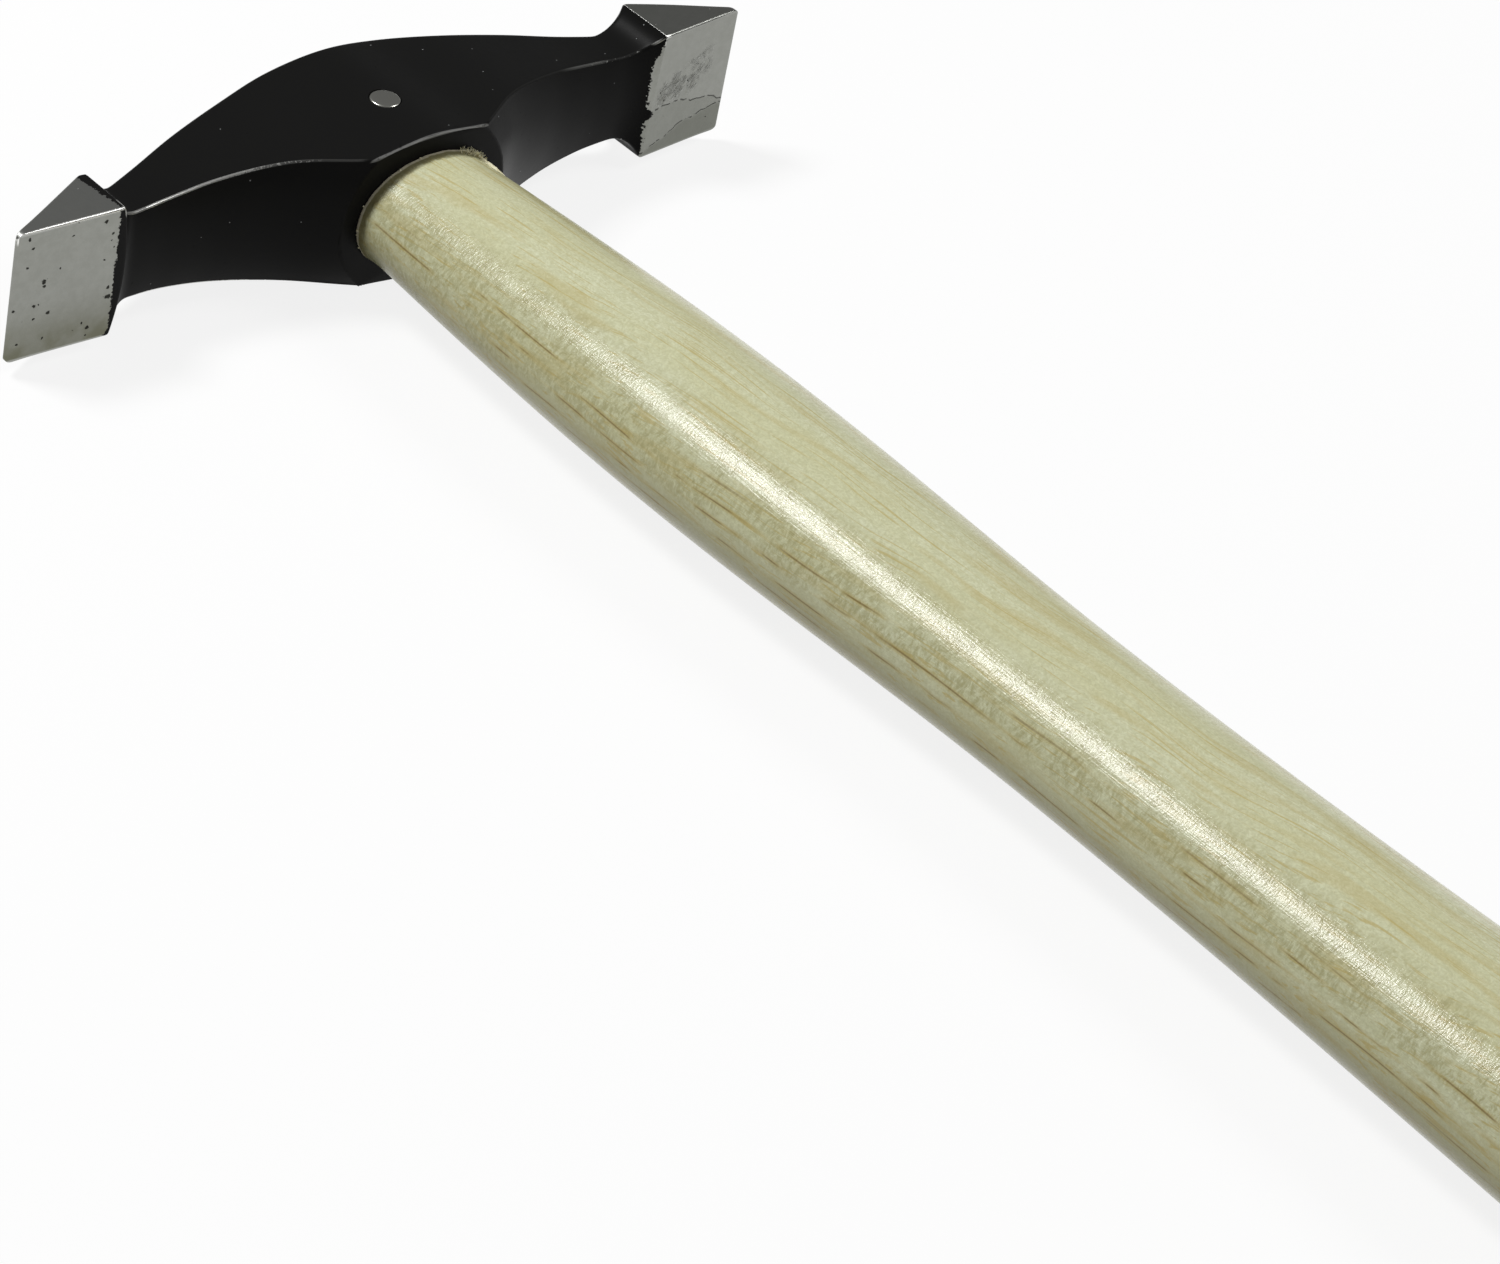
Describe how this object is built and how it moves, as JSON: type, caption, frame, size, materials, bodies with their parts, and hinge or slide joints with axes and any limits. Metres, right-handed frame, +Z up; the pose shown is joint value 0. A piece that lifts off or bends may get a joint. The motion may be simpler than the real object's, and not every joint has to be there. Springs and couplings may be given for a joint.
{
  "type": "texturing hammer",
  "caption": "Double-ended cross peen hammer for texturing metal: forged black head with ground wedge peens, pinned on an oval hardwood handle.",
  "frame": {"origin": "middle of the box the hammer fills, at its base, as it lies on one cheek and the grip", "axes": "+Y from the butt of the handle towards the arched back of the head, +X along the head, +Z up"},
  "size_m": [0.092, 0.2552, 0.0175],
  "materials": {
    "forged_steel": "satin black paint, ground bare steel on the peens",
    "varnished_hardwood": "gloss varnish",
    "wedge_wood": "sawn and dressed",
    "pin_steel": "filed bright"
  },
  "bodies": {
    "root": {"head": "forged_steel", "handle": "varnished_hardwood", "eye_wedge": "wedge_wood", "cross_pin": "pin_steel"}
  },
  "joints": []
}
